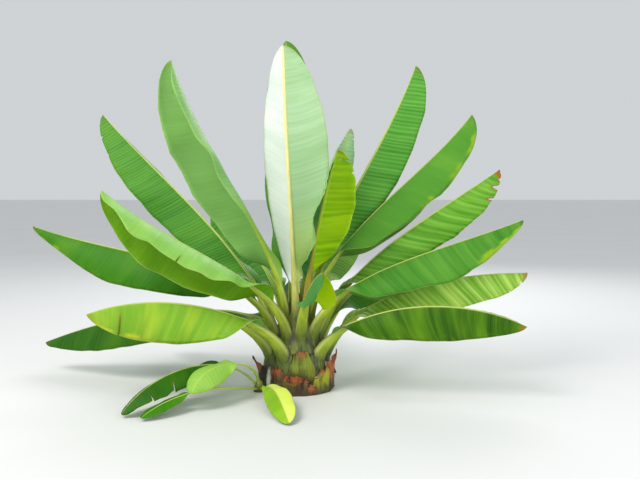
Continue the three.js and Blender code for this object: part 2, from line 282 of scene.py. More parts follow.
# %% Leaves
columns = ("ring", "foot", "azimuth", "reach", "height", "nod", "width", "left", "right")
leaf_rows = {
    "leaf_left_lowest": ("outer", 203, 165, 2.12, 0.232, -22, 0.52, 50, 35),
    "leaf_left_low": ("outer", 243, 199, 1.51, 0.622, -20, 0.58, 80, 42),
    "leaf_left_long": ("middle", 207, 175, 2.01, 1.19, 19, 0.54, 70, 20),
    "leaf_left_tented": ("middle", 246, 199, 1.39, 1.471, 43, 0.56, 36, 70),
    "leaf_left_ribbed": ("middle", 169, 163, 1.602, 2.049, 46, 0.54, 70, 20),
    "leaf_left_tall": ("inner", 225, 205, 0.931, 2.355, 72, 0.545, 30, 70),
    "leaf_front_tallest": ("inner", 266, 256, 0.347, 2.464, 88, 0.58, -8, -46),
    "leaf_back_tallest": ("inner", 110, 105, 0.347, 2.6, 86, 0.52, 58, 0),
    "leaf_front_sunlit": ("inner", 304, 302, 0.55, 1.75, 60, 0.45, 34, 48, 0.29),
    "leaf_back_upright": ("inner", 71.5, 60, 0.829, 1.954, 60, 0.28, 30, 56, 0.35),
    "leaf_right_tall": ("inner", 28, 31.5, 1.09, 2.443, 66, 0.52, 70, 52, 0.35),
    "leaf_right_upper": ("inner", -18, 16, 1.401, 2.046, 50, 0.52, 76, 62, 0.35),
    "leaf_right_pleated": ("middle", -9, 6, 1.526, 1.616, 34, 0.52, 20, 57),
    "leaf_right_long": ("middle", -45, -8, 1.626, 1.257, 22, 0.54, 62, 66),
    "leaf_right_striped": ("outer", 2, 12, 1.833, 0.812, -2, 0.5, 20, 60, 0.235),
    "leaf_right_low": ("outer", -41, -18, 1.662, 0.541, -26, 0.5, 20, 82, 0.215),
    "leaf_front_short": ("middle", 281, 283, 0.855, 0.945, 8, 0.42, 50, 84),
    "leaf_back_low_right": ("outer", 46, 52, 1.6, 0.7, -16, 0.5, 40, 50),
    "leaf_back_low": ("outer", 88, 92, 1.65, 0.62, -18, 0.5, 50, 40),
    "leaf_back_low_left": ("outer", 130, 140, 1.6, 0.33, -20, 0.5, 60, 30),
    "leaf_back_high_right": ("middle", 62, 72, 1.45, 1.3, 24, 0.5, 40, 40),
    "leaf_back_high_left": ("middle", 120, 120, 1.5, 1.34, 28, 0.5, 50, 30),
}
print(len(leaf_rows), "leaves on the main crown")


# %% Vectors and curves
def around(azimuth, distance, height):
    turn = np.radians(azimuth)
    return np.stack(np.broadcast_arrays(distance * np.cos(turn), distance * np.sin(turn), height), -1)


def heading(azimuth, rise):
    rise = np.radians(rise)
    return around(azimuth, np.cos(rise), np.sin(rise))


def unit(vectors):
    return vectors / np.linalg.norm(vectors, axis=-1, keepdims=True)


def by(vectors, lengths):
    """Each vector times its own length."""
    return vectors * lengths[:, None]


def step(value, low, high):
    share = np.clip((value - low) / (high - low), 0, 1)
    return share * share * (3 - 2 * share)


def lerp(low, high, share):
    return low + (high - low) * share


def looked_up(share, shares, values):
    """Rows of values, known at some shares of the way, at other shares of it."""
    return np.stack([np.interp(share, shares, values[:, k]) for k in range(3)], -1)


print("a heading to the right and 30 degrees up:", heading(0, 30).round(3))

# %% The midrib's curve
# Lengths of the curve's two handles, as shares of the straight way from foot to tip.
LEAVING = 0.3
ARRIVING = 0.36


def rib_line(leaf, start, tip):
    """Points, tangents, sides and uppers along a leaf's rib, at equal shares of its length."""
    chord = np.linalg.norm(tip - start)
    leave = start + heading(leaf["foot"], leaf["foot_rise"]) * LEAVING * chord
    arrive = tip - heading(leaf["azimuth"], leaf["nod"]) * ARRIVING * chord
    way = np.linspace(0, 1, 4001)[:, None]
    back = 1 - way
    points = back**3 * start + 3 * back**2 * way * leave + 3 * back * way**2 * arrive + way**3 * tip
    slope = back**2 * (leave - start) + 2 * back * way * (arrive - leave) + way**2 * (tip - arrive)
    run = np.concatenate([[0], np.cumsum(np.linalg.norm(np.diff(points, axis=0), axis=1))])
    shares = np.linspace(0, 1, 601)
    point = looked_up(shares * run[-1], run, points)
    along = unit(looked_up(shares * run[-1], run, slope))
    side = heading(lerp(leaf["foot"], leaf["azimuth"], shares) - 90, 0)
    side = unit(side - along * np.sum(side * along, axis=1, keepdims=True))
    upper = np.cross(side, along)
    return dict(length=run[-1], shares=shares, point=point, along=along, side=side, upper=upper)


def rib_frame(line, share):
    """The rib's middle, and its directions to the side and up, at shares of its length."""
    return [looked_up(share, line["shares"], line[field]) for field in ("point", "side", "upper")]


trial = rib_line(dict(foot=0, foot_rise=90, azimuth=0, nod=0), np.zeros(3), np.array([1.0, 0.0, 1.0]))
print("a rib that starts upright and ends level, 1 m up and 1 m out, is", round(trial["length"], 2), "m long")

# %% Leaves on their curves
# How far inside the trunk's surface a rib starts. rib_tip is the share of its width that it keeps at its tip.
STALK_DEPTH = 0.012
leaves = {}


def grow(name, leaf, start, tip, endings):
    leaf["line"] = rib_line(leaf, start, tip)
    leaf["nodes"] = [name + ending for ending in endings]
    leaves[name] = leaf


for name, row in leaf_rows.items():
    leaf = {**rings[row[0]], **dict(zip(columns, row)), "rib_tip": 0.2}
    if name == "leaf_front_tallest":
        leaf["rib_tip"] = 0.5
    if len(row) > len(columns):
        leaf["petiole"] = row[-1]
    start = around(leaf["foot"], trunk_radius(leaf["foot_height"]) - STALK_DEPTH, leaf["foot_height"])
    tip = around(leaf["azimuth"], leaf["reach"], leaf["height"])
    grow(name, leaf, start, tip, ["_stalk", "_blade"] if leaf["ring"] == "outer" else [""])
print("longest leaf:", round(max(leaf["line"]["length"] for leaf in leaves.values()), 2), "m")

# %% [markdown]
# The offshoot repeats the plan at a quarter of the size: its stem stands against the trunk's foot at the
# front left, and its four leaves flop to the ground.

# %% Offshoot
OFFSHOOT_HEIGHT = 0.09
OFFSHOOT_FOOT = 0.044
offshoot_place = around(205, 0.3, 0.0)


def offshoot_radius(height):
    return OFFSHOOT_FOOT * np.sqrt(1 - np.clip(np.asarray(height, float) / OFFSHOOT_HEIGHT, 0, 1) ** 2)


offshoot_columns = ("foot", "azimuth", "reach", "height", "nod", "foot_height", "foot_rise", "petiole",
                    "width", "left", "right")
offshoot_rows = {
    "offshoot_leaf_long": (186, 220.5, 1.11, 0.028, -50, 0.054, 54, 0.31, 0.27, 40, 24),
    "offshoot_leaf_pale": (249, 236, 0.725, 0.132, -66, 0.072, 82, 0.345, 0.24, 54, 6),
    "offshoot_leaf_low": (240, 228.5, 1.06, 0.024, -26, 0.026, 14, 0.64, 0.13, 26, 10),
    "offshoot_leaf_front": (292, 285.5, 0.925, 0.02, -22, 0.026, 24, 0.12, 0.19, -2, 40),
}
for name, row in offshoot_rows.items():
    leaf = {**rings["offshoot"], **dict(zip(offshoot_columns, row)), "ring": "offshoot", "rib_tip": 0.2}
    start = around(leaf["foot"], offshoot_radius(leaf["foot_height"]) - 0.004, leaf["foot_height"])
    tip = around(leaf["azimuth"], leaf["reach"], leaf["height"])
    grow(name, leaf, start + offshoot_place, tip + offshoot_place, ["_stalk", "_blade"])
print("leaves in all:", len(leaves))

# %% [markdown]
# ## Pieces
#
# A finished piece lies at the origin with its place in its mesh, rides on the one body of the plant, hides
# the solid that it stands for and wears its finishes. One helper does this for all of them.


# %% Piece helpers
def piece_from(name, shape, places, layers, materials, nodes):
    """Turns a bmesh into a piece. places moves its points; layers are values that its points carry."""
    mesh = bpy.data.meshes.new(name)
    shape.to_mesh(mesh)
    shape.free()
    mesh.vertices.foreach_set("co", np.ascontiguousarray(places, np.float32).ravel())
    for label, values in layers.items():
        if label == "leaf":
            corner = np.empty(len(mesh.loops), np.int32)
            mesh.loops.foreach_get("vertex_index", corner)
            flat = np.ascontiguousarray(values[corner], np.float32)
            mesh.uv_layers.new(name=label).data.foreach_set("uv", flat.ravel())
        else:
            layer = mesh.attributes.new(label, "FLOAT", "POINT")
            layer.data.foreach_set("value", np.ascontiguousarray(values, np.float32))
    for material in materials:
        mesh.materials.append(looks[material])
    mesh.shade_smooth()
    mesh.update()
    piece = bpy.data.objects.new(name, mesh)
    bpy.context.scene.collection.objects.link(piece)
    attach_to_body(piece, "root")
    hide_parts(*nodes)
    return piece


def thickened(piece, thickness):
    """Solidify, half to each side of the sheet, with the second material on the under face."""
    shell = piece.modifiers.new("thickness", "SOLIDIFY")
    shell.thickness = thickness
    shell.offset = 0
    shell.material_offset = 1
    return shell


def points_of(shape):
    return np.array([v.co[:] for v in shape.verts])


def wobble(place, wavelength, seed, count=7):
    """Smooth, seeded unevenness between about -1 and 1, with waves of about the given length."""
    draw = np.random.default_rng(seed)
    total = np.zeros_like(np.asarray(place, float))
    for pitch, phase in zip(draw.uniform(0.5, 2.4, count), draw.uniform(0, 2 * np.pi, count)):
        total += np.sin(2 * np.pi * np.asarray(place, float) / (wavelength * pitch) + phase)
    return total / count**0.5 * 0.8


FINE = 0.0052
ACROSS = 22
RING_STEP = 0.018
print("stations every", FINE * 1000, "mm along a blade,", ACROSS, "quads across")

# %% [markdown]
# ## Blades
#
# A real blade is a thin sheet that hangs from the rib in two halves. Fine parallel veins run from the rib
# to the edge and the sheet is pleated along them, the edge waves, and wind tears it between two veins.
# Each blade starts as a flat grid whose lines are those veins. Slits are cut with split_edges while it
# is flat, then every point moves to its place along the rib, and Solidify gives the sheet its thickness.
# A subdivision surface could make the sheet smoother, but the pleats need real rows of points anyway.


# %% Flat blade with its slits
def eased(share):
    """Moves shares of the way closer together towards both ends, where the outline turns fastest."""
    return share - 0.3 * np.sin(2 * np.pi * share) / (2 * np.pi)


def flat_blade(stations, slits, holes):
    """A flat grid from -1 to 1 both ways, with slits and holes. Returns it and each point's slit side."""
    sheet = bmesh.new()
    bmesh.ops.create_grid(sheet, x_segments=stations, y_segments=ACROSS, size=1)
    lines = []
    for half, share, depth, gape, jump in slits:
        lines.append((half, 2 * round(share * stations) / stations - 1, 1 - depth, gape, jump))
    cuts = []
    for edge in sheet.edges:
        a, b = edge.verts[0].co, edge.verts[1].co
        if abs(a.x - b.x) > 1e-6:
            continue
        for half, line, inner, gape, jump in lines:
            if abs(a.x - line) < 1e-5 and min(a.y * half, b.y * half) > inner - 1e-4:
                cuts.append(edge)
    bmesh.ops.split_edges(sheet, edges=cuts)
    for half, share, across, long, wide in holes:
        lost = []
        for face in sheet.faces:
            spot = face.calc_center_median()
            if math.hypot((spot.x - 2 * share + 1) / long, (spot.y - half * across) / wide) < 1:
                lost.append(face)
        bmesh.ops.delete(sheet, geom=lost, context="FACES")
    sheet.verts.ensure_lookup_table()
    spots = points_of(sheet)
    lean = np.zeros(len(spots))
    for k in np.nonzero(np.isin(spots[:, 0].round(4), np.round([line[1] for line in lines], 4)))[0]:
        faces = sheet.verts[int(k)].link_faces
        lean[k] = np.sign(round(sum(f.calc_center_median().x for f in faces) / len(faces) - spots[k, 0], 6))
    return sheet, spots, lean, lines


trial, spots, lean, _ = flat_blade(40, [(1, 0.5, 0.4, 0.02, 0.01)], [])
print("a cut grid has", len(spots), "points,", int(np.sum(lean != 0)), "of them beside its slit")
trial.free()

# %% [markdown]
# The rib's own section is a crescent: two edges at plus and minus half its width that stand up from a
# channel, and a rounded keel below. It shrinks from stalk to tip, and the blade hangs from its edges.

# %% Rib section along a leaf
# Where the blade hangs, as a share of the rib's half width.
ATTACH = 0.8


def rib_section(leaf, down, t):
    """Half width, edge height, keel depth and channel height where down is the share of the stalk."""
    stalk, neck, keel = leaf["stalk"], leaf["neck"], leaf["keel"]
    opened = step(t, 0, 0.2)
    slim = min(neck * 0.62, 0.0185)
    taper = lerp(1, leaf["rib_tip"], t)
    half = lerp(lerp(stalk * 0.86, neck * 0.82, down), slim * taper, opened)
    edge = lerp(lerp(stalk * 0.62, neck * 0.5, down), slim * lerp(0.16, 0.07, t), opened)
    depth = lerp(lerp(keel, keel * 0.85, down), slim * lerp(1.1, 0.2, t), opened)
    channel = lerp(lerp(stalk * 0.08, neck * 0.04, down), slim * lerp(-0.1, 0.0, t), opened)
    return half, edge, depth, channel


def blade_outline(share):
    s = np.clip(share, 0, 1) ** 1.15
    return (4 * s * (1 - s)) ** 0.58


def blade_reach(leaf, t):
    """How far the sheet's edge stands from the middle of the rib."""
    half = rib_section(leaf, 1.0, t)[0] * ATTACH
    return np.hypot(half * 1.03, leaf["width"] / 2 * blade_outline(t))


print("outline at a quarter, half and three quarters:", blade_outline(np.array([0.25, 0.5, 0.75])).round(2))

# %% [markdown]
# What makes one blade differ from the next is its dress, a row of names and numbers. Here is the plain
# dress, and each leaf's own row, further down, says only what differs. A pair is for the left and the
# right half, and a half is 1 for left or -1 for right.

# %% Plain dress
plain_dress = dict(
    under="under_mid",  # look of the lower face
    stalk="stalk",  # look of the stalk and rib
    slot="blade",
    pitch=0.034,  # distance from one pleat to the next
    ripple=0.01,  # height of the edge's waves
    wave=0.26,  # length of the edge's waves
    camber=0.24,  # bulge of each half between rib and edge
    curl=10,  # degrees that the outermost edge turns down
    sway=5,  # degrees by which the hang varies along the leaf
    forward=0.3,  # sweep of the veins towards the tip
    ragged=0.016,  # unevenness of the outline
    angular=(0, 0),  # straight stretches with corners in the outline
    slim=(0, 0),  # how much narrower the half is towards its foot
    sharp=(0, 0),  # how much narrower it is towards its tip
    less=(0, 0),  # how much narrower it is all along
    fray=0.0,  # torn bits at the tip
    gilt=[],  # yellow edges: half, first and last share of the length, share of the half's width
    slits=[],  # tears: half, share of the length, depth, gape, step between their two sides
    holes=[],  # holes: half, share of the length, share of the way out, length, width
)


def own(top, pleat, **more):
    """The plain dress with a leaf's own upper look, its pleats' height and whatever else differs."""
    return {**plain_dress, "top": top, "pleat": pleat, **more}


print("the plain dress has", len(plain_dress), "names and numbers")


# %% How a blade is torn and edged
def pulled_apart(lines, flat, lean, out, length):
    """Moves the points beside each slit apart along the leaf and up, and marks those at the cut."""
    vein = flat.copy()
    lift, cut = np.zeros((2, len(flat)))
    for half, line, inner, gape, jump in lines:
        spot = eased((line + 1) / 2)
        aside = np.where(np.abs(flat - spot) < 1e-6, lean, np.sign(flat - spot))
        opened = np.clip((np.abs(out) - inner) / (1 - inner), 0, 1) * (np.sign(out) == half)
        gap = np.abs(flat - spot) * length
        vein += aside * gape / 2 / length * opened * np.exp(-gap / 0.035)
        lift += aside * jump * opened * np.exp(-gap / 0.09)
        cut = np.maximum(cut, (opened > 0) * np.exp(-gap / 0.007))
    return vein, lift, cut


def edge_share(dress, hand, t, q, metres, seed):
    """How far out a point stands, as a share of the plain outline. The halves differ by a shift."""
    halves = lambda label: np.where(hand > 0, *dress[label])
    narrow = (1 - halves("slim") * (1 - step(t, 0, 0.45))) * (1 - halves("sharp") * step(t, 0.6, 1.0))
    uneven = wobble(metres + 7 * hand, 0.3, seed) + 0.22 * wobble(metres + 3 * hand, 0.07, seed + 1)
    torn = np.maximum(0, wobble(metres + 5 * hand, 0.05, seed + 2) - 0.55)
    knots = np.arange(0, metres.max() + 0.4, 0.16)
    corners = np.random.default_rng(seed + 8).uniform(-1, 1, (2, len(knots)))
    broken = np.where(hand > 0, np.interp(metres, knots, corners[0]), np.interp(metres, knots, corners[1]))
    uneven = dress["ragged"] * uneven + halves("angular") * broken
    uneven -= dress["fray"] * step(t, 0.82, 1.0) * torn * 2.2
    return narrow * (1 - halves("less")) * np.maximum(1 + uneven * q**2, 0.3)


way = np.linspace(0, 1, 200)
everywhere = np.ones(200)
edges = edge_share(plain_dress, everywhere, way, everywhere, way * 1.5, 1)
print("a plain blade's edge stands at", edges.min().round(2), "to", edges.max().round(2), "of its outline")


# %% How a blade is pleated and gilded
def blade_relief(dress, hand, t, q, metres, seed):
    """Height from the pleats and from the edge's waves, and the pleats' crests from 0 to 1."""
    phase = metres / dress["pitch"] + 0.25 * wobble(metres, 0.18, seed + 4) + hand * 0.25
    crest = 1 - np.abs(np.sin(np.pi * phase))
    strength = 0.75 + 0.35 * wobble(metres + 13 * hand, 0.3, seed + 5)
    strength *= step(q, 0, 0.12) * step(t, 0.02, 0.12) * (1 - step(t, 0.93, 1))
    waves = dress["ripple"] * wobble(metres + 17 * hand, dress["wave"], seed + 6)
    return dress["pleat"] * (1.6 * crest - 0.6) * strength + waves * q**3 * step(t, 0.02, 0.2), crest


def gilding(dress, hand, t, q, metres, seed):
    """Where the sheet has turned yellow, from 0 to 1. Over a width of 1, a whole half has, and it fades."""
    gilt = np.zeros(len(t))
    for half, first, last, wide in dress["gilt"]:
        inner = 1 - wide + 0.06 * wobble(metres, 0.12, seed + 9)
        fade = 0.35 if wide > 1 else 0.04
        band = step(q, inner - 0.05, inner + 0.03) * (hand == half)
        band = band * step(t, first - 0.03, first + 0.03) * (1 - step(t, last, last + fade))
        gilt = np.maximum(gilt, band)
    return gilt


relief, _ = blade_relief(own("mid", 0.002), everywhere, way, everywhere * 0.5, way * 1.5, 1)
print("2 mm pleats rise and fall by", round(float(np.ptp(relief)) * 1000, 1), "mm with the edge's waves")

# %% Blade builder
# Degrees below level at a blade's foot, where its two halves still stand up, folded.
FOLDED = -38
BLADE_THICKNESS = 0.0016
OFFSHOOT_BLADE_THICKNESS = 0.0012


def make_blade(name, leaf, dress, seed):
    length = leaf["line"]["length"] - leaf["petiole"]
    fine = FINE * min(1.0, 0.35 + 0.65 * leaf["width"] / 0.5)
    sheet, spots, lean, lines = flat_blade(int(length / fine), dress["slits"], dress["holes"])
    flat = eased((spots[:, 0] + 1) / 2)
    metres = flat * length
    hand = np.sign(spots[:, 1])
    out = np.abs(spots[:, 1])
    root = 2 / ACROSS
    q = np.clip((out - root) / (1 - root), 0, 1)
    in_rib = np.clip(out / root, 0, 1)
    vein, lift, cut = pulled_apart(lines, flat, lean, spots[:, 1], length)
    forward = dress["forward"] * leaf["width"] / 2 / length
    t = np.clip(vein + forward * 4 * vein * (1 - vein) * q**1.5, 0, 1)
    rib_half, edge, _, channel = rib_section(leaf, 1.0, t)
    attach = rib_half * ATTACH
    reach = blade_reach(leaf, t)
    away = (reach - attach) * edge_share(dress, hand, t, q, metres, seed) * q
    opening = step(t, 0, 0.22)
    hang = np.where(hand > 0, leaf["left"], leaf["right"])
    hang = hang + dress["sway"] * wobble(metres + 11 * hand, 0.55, seed + 3) * step(t, 0.05, 0.3)
    angle = np.radians(lerp(FOLDED, hang, opening))
    height, crest = blade_relief(dress, hand, t, q, metres, seed)
    height += lift + dress["camber"] * reach * q * (1 - q) * opening
    height -= np.sin(np.radians(dress["curl"]) * q**4 * opening) * away * 0.25
    neck = leaf["petiole"] / leaf["line"]["length"]
    centre, side, upper = rib_frame(leaf["line"], neck + (1 - neck) * t)
    outward = -by(side, hand * np.cos(angle)) - by(upper, np.sin(angle))
    face = by(upper, np.cos(angle)) - by(side, hand * np.sin(angle))
    top = lerp(channel, edge - (edge - channel) * 0.6, in_rib) - 0.0012
    places = centre - by(side, hand * attach * in_rib) + by(upper, top) + by(outward, away) + by(face, height)
    layers = {
        "leaf": np.stack([metres + seed * 0.73, spots[:, 1] * leaf["width"] / 2], 1),
        "across": q,
        "along": t,
        "pleat": crest,
        "gilt": gilding(dress, hand, t, q, metres, seed),
        "cut": cut,
    }
    materials = [dress["top"], dress["under"]]
    blade = piece_from(name + "_lamina", sheet, places, layers, materials, leaf["nodes"][-1:])
    thickened(blade, OFFSHOOT_BLADE_THICKNESS if leaf["ring"] == "offshoot" else BLADE_THICKNESS)
    return blade


print("blades are", BLADE_THICKNESS * 1000, "mm thick, the offshoot's", OFFSHOOT_BLADE_THICKNESS * 1000)

# %% [markdown]
# ## Stalks and ribs
#
# A banana stalk is a deep channel that runs on as the keeled midrib, and below the leaf its base widens
# into a sheath that wraps the trunk. A curve with a bevel would give one round section; here an upright
# tube with many rings is moved onto the rib instead, so that its section changes along the way.


# %% Upright tube
def tube(sides, rings_up):
    """An upright closed tube from z = -1 to 1. Returns it, and each point's turn and share of the way."""
    shape = bmesh.new()
    bmesh.ops.create_cone(shape, cap_ends=True, segments=sides, radius1=1, radius2=1, depth=2)
    upright = [e for e in shape.edges if abs(e.verts[0].co.z - e.verts[1].co.z) > 1]
    bmesh.ops.subdivide_edges(shape, edges=upright, cuts=rings_up - 1, use_grid_fill=True)
    spots = points_of(shape)
    return shape, np.arctan2(spots[:, 1], spots[:, 0]), (spots[:, 2] + 1) / 2


trial = tube(8, 5)
print("a tube of 8 sides and 5 rings has", len(trial[1]), "points")
trial[0].free()

# %% Stalk builder
# Edge height, keel depth and channel height where a stalk lies flat round the trunk.
SHEATH_SECTION = (0.004, 0.018, -0.004)


def make_stalk(name, leaf, dress, seed):
    line = leaf["line"]
    neck = leaf["petiole"] / line["length"]
    small = leaf["ring"] == "offshoot"
    total = leaf["below"] + line["length"] * 0.992
    shape, turn, way = tube(14 if small else 20, int(total / RING_STEP))
    run = way * total - leaf["below"]
    share = np.clip(run / line["length"], 0, 1)
    t = np.clip((share - neck) / (1 - neck), 0, 1)
    half, *section = rib_section(leaf, np.clip(share / neck, 0, 1), t)
    half = half * (1 + step(-run, -0.02, leaf["below"]) * leaf["widen"])
    wrap = (1 - step(run, -0.11, 0.03)) * (not small)
    edge, depth, channel = [lerp(free, flat, wrap) for free, flat in zip(section, SHEATH_SECTION)]
    across = np.cos(turn) * half * (1 - 0.5994 * step(t, 0.93, 1.0) ** 2)
    bulge = np.abs(np.sin(turn))
    hollow = edge - (edge - channel) * bulge
    keel = edge - (edge + depth) * bulge**0.8 + wobble(run + turn * 0.02, 0.09, seed) * 0.0012
    up = np.where(np.sin(turn) < 0, keel, hollow)
    centre, side, upper = rib_frame(line, share)
    straight = centre + by(side, across) + by(upper, up)
    height = leaf["foot_height"] + np.minimum(run, 0)
    above = np.maximum(height, 0)
    radius = trunk_radius(above) + lerp(-STALK_DEPTH, leaf["stand"], step(-run, 0, 0.12))
    if small:
        straight += by(line["along"][:1], np.minimum(run, 0))
    else:
        below_foot = around(leaf["foot"], radius, height) + by(side, across)
        below_foot += by(around(leaf["foot"], -1.0, 0.0), up)
        straight = np.where((run < 0)[:, None], below_foot, straight)
    wrapped = around(leaf["foot"] - np.degrees(across / radius), radius - up, above)
    margin = np.abs(np.cos(turn))
    layers = {
        "leaf": np.stack([run + seed * 0.31, turn / (2 * np.pi) * 0.12], 1),
        "run": run / leaf["petiole"],
        "along": t,
        "rim": step(margin, 0.8, 1.0) * (np.sin(turn) > -0.4) * step(run, 0, 0.08),
        "seam_shade": step(margin, 0.84, 1.0) * (1 - step(run, -0.06, 0.02)),
    }
    places = lerp(straight, wrapped, wrap[:, None])
    return piece_from(name + "_rib", shape, places, layers, [dress["stalk"]], leaf["nodes"])


print("a ring of points every", RING_STEP * 1000, "mm along a stalk and its rib")

# %% [markdown]
# ## Leaf finishes
#
# A leaf's colour is never even: light and dark bands follow the veins, the edge carries a thin yellow line,
# and the tip goes orange and brown. The ridges of the pleats are painted lighter than the valleys, a
# painted highlight on the crests and painted shade in the folds. The patterns follow the sheet's own map,
# whose first number runs along the leaf and second across it, and values that its points carry: how far
# across, how far along, and where the pleats rise.

# %% Leaf group
leaf_inputs = {
    "Deep": (70, 126, 36), "Light": (130, 180, 84), "Flush": (150, 178, 40), "Edge": (190, 204, 110),
    "Scorch": (158, 92, 38), "Other deep": (120, 170, 90), "Other light": (140, 190, 110),
    "Banding": 0.5, "Crest highlight": 0.3, "Patches": 0.3, "Edging": 0.6, "Burn": 0.2, "Halving": 0.0,
}
leaf_group, given, made = effect("leaf_surface", leaf_inputs)
tree = leaf_group
chart = chart_of(tree)
across, along, pleat, gilt, cut = carried(tree, "across", "along", "pleat", "gilt", "cut")
bands = noise(tree, chart, 15.0, 3.0, 0.55, (1.0, 0.07, 1.0))
broad = noise(tree, chart, 3.6, 3.0, 0.5, (1.0, 0.3, 1.0))
fine = noise(tree, chart, 110.0, 2.0, 0.5, (1.0, 0.03, 1.0))
blotch = noise(tree, chart, 26.0, 4.0, 0.6)
# How light a spot is: bands along the veins, a painted highlight on the pleats' crests and painted
# shade in their valleys, then broad and fine variation.
lightness = sums(tree, "MULTIPLY_ADD", between(tree, bands, 0.3, 0.7, -0.5, 0.5), given["Banding"], 0.5)
lightness = sums(tree, "MULTIPLY_ADD", sums(tree, "SUBTRACT", pleat, 0.55), given["Crest highlight"], lightness)
lightness = sums(tree, "ADD", lightness, between(tree, broad, 0.3, 0.7, -0.22, 0.22))
lightness = sums(tree, "ADD", lightness, between(tree, fine, 0.3, 0.7, -0.09, 0.09))
colour = mixed(tree, lightness, given["Deep"], given["Light"])
# The left half may have colours of its own. Most looks that use this paint light on the halves:
# shade, sunlight shining through the sheet, and glare.
half = node(tree, "SeparateXYZ", {0: chart}).outputs[1]
other = times(tree, between(tree, half, -0.004, 0.004), given["Halving"])
colour = mixed(tree, other, colour, mixed(tree, lightness, given["Other deep"], given["Other light"]))
# Yellowed patches, mostly by the edge.
patch = times(tree, between(tree, broad, 0.5, 0.7), given["Patches"])
rim_patch = times(tree, between(tree, across, 0.75, 1.0), between(tree, blotch, 0.48, 0.66))
patch = sums(tree, "MAXIMUM", patch, times(tree, rim_patch, given["Patches"]))
colour = mixed(tree, sums(tree, "MAXIMUM", patch, gilt), colour, given["Flush"])
# A pale line along the rib and along the edge.
by_rib = between(tree, across, 0.0, 0.05, 0.4, 0.0)
thin_edge = times(tree, between(tree, across, 0.976, 0.998), given["Edging"])
colour = mixed(tree, sums(tree, "MAXIMUM", by_rib, thin_edge), colour, given["Edge"])
# Scorched brown at the tip, at the edge and in the slits.
tip = between(tree, along, 0.93, 1.0, 0.0, 1.1)
outer = between(tree, across, 0.9, 1.0, 0.0, 0.3)
burn = sums(tree, "MULTIPLY_ADD", blotch, 0.9, sums(tree, "ADD", tip, outer))
burn = times(tree, between(tree, burn, 0.95, 1.3), given["Burn"])
burn = sums(tree, "MAXIMUM", burn, times(tree, times(tree, cut, 2.0), given["Burn"]))
colour = mixed(tree, burn, colour, given["Scorch"])
dull = sums(tree, "ADD", between(tree, bands, 0.3, 0.7, 0.46, 0.6), times(tree, burn, 0.3))
put_out(tree, made, colour, dull, sums(tree, "MULTIPLY_ADD", blotch, 0.25, fine))
print("leaf group inputs:", [item.name for item in tree.interface.items_tree if item.in_out == "INPUT"])

# %% Leaf looks
leaf_labels = ("Deep", "Light", "Flush", "Banding", "Crest highlight", "Patches", "Burn", "Edging",
               "Other deep", "Other light", "Halving")
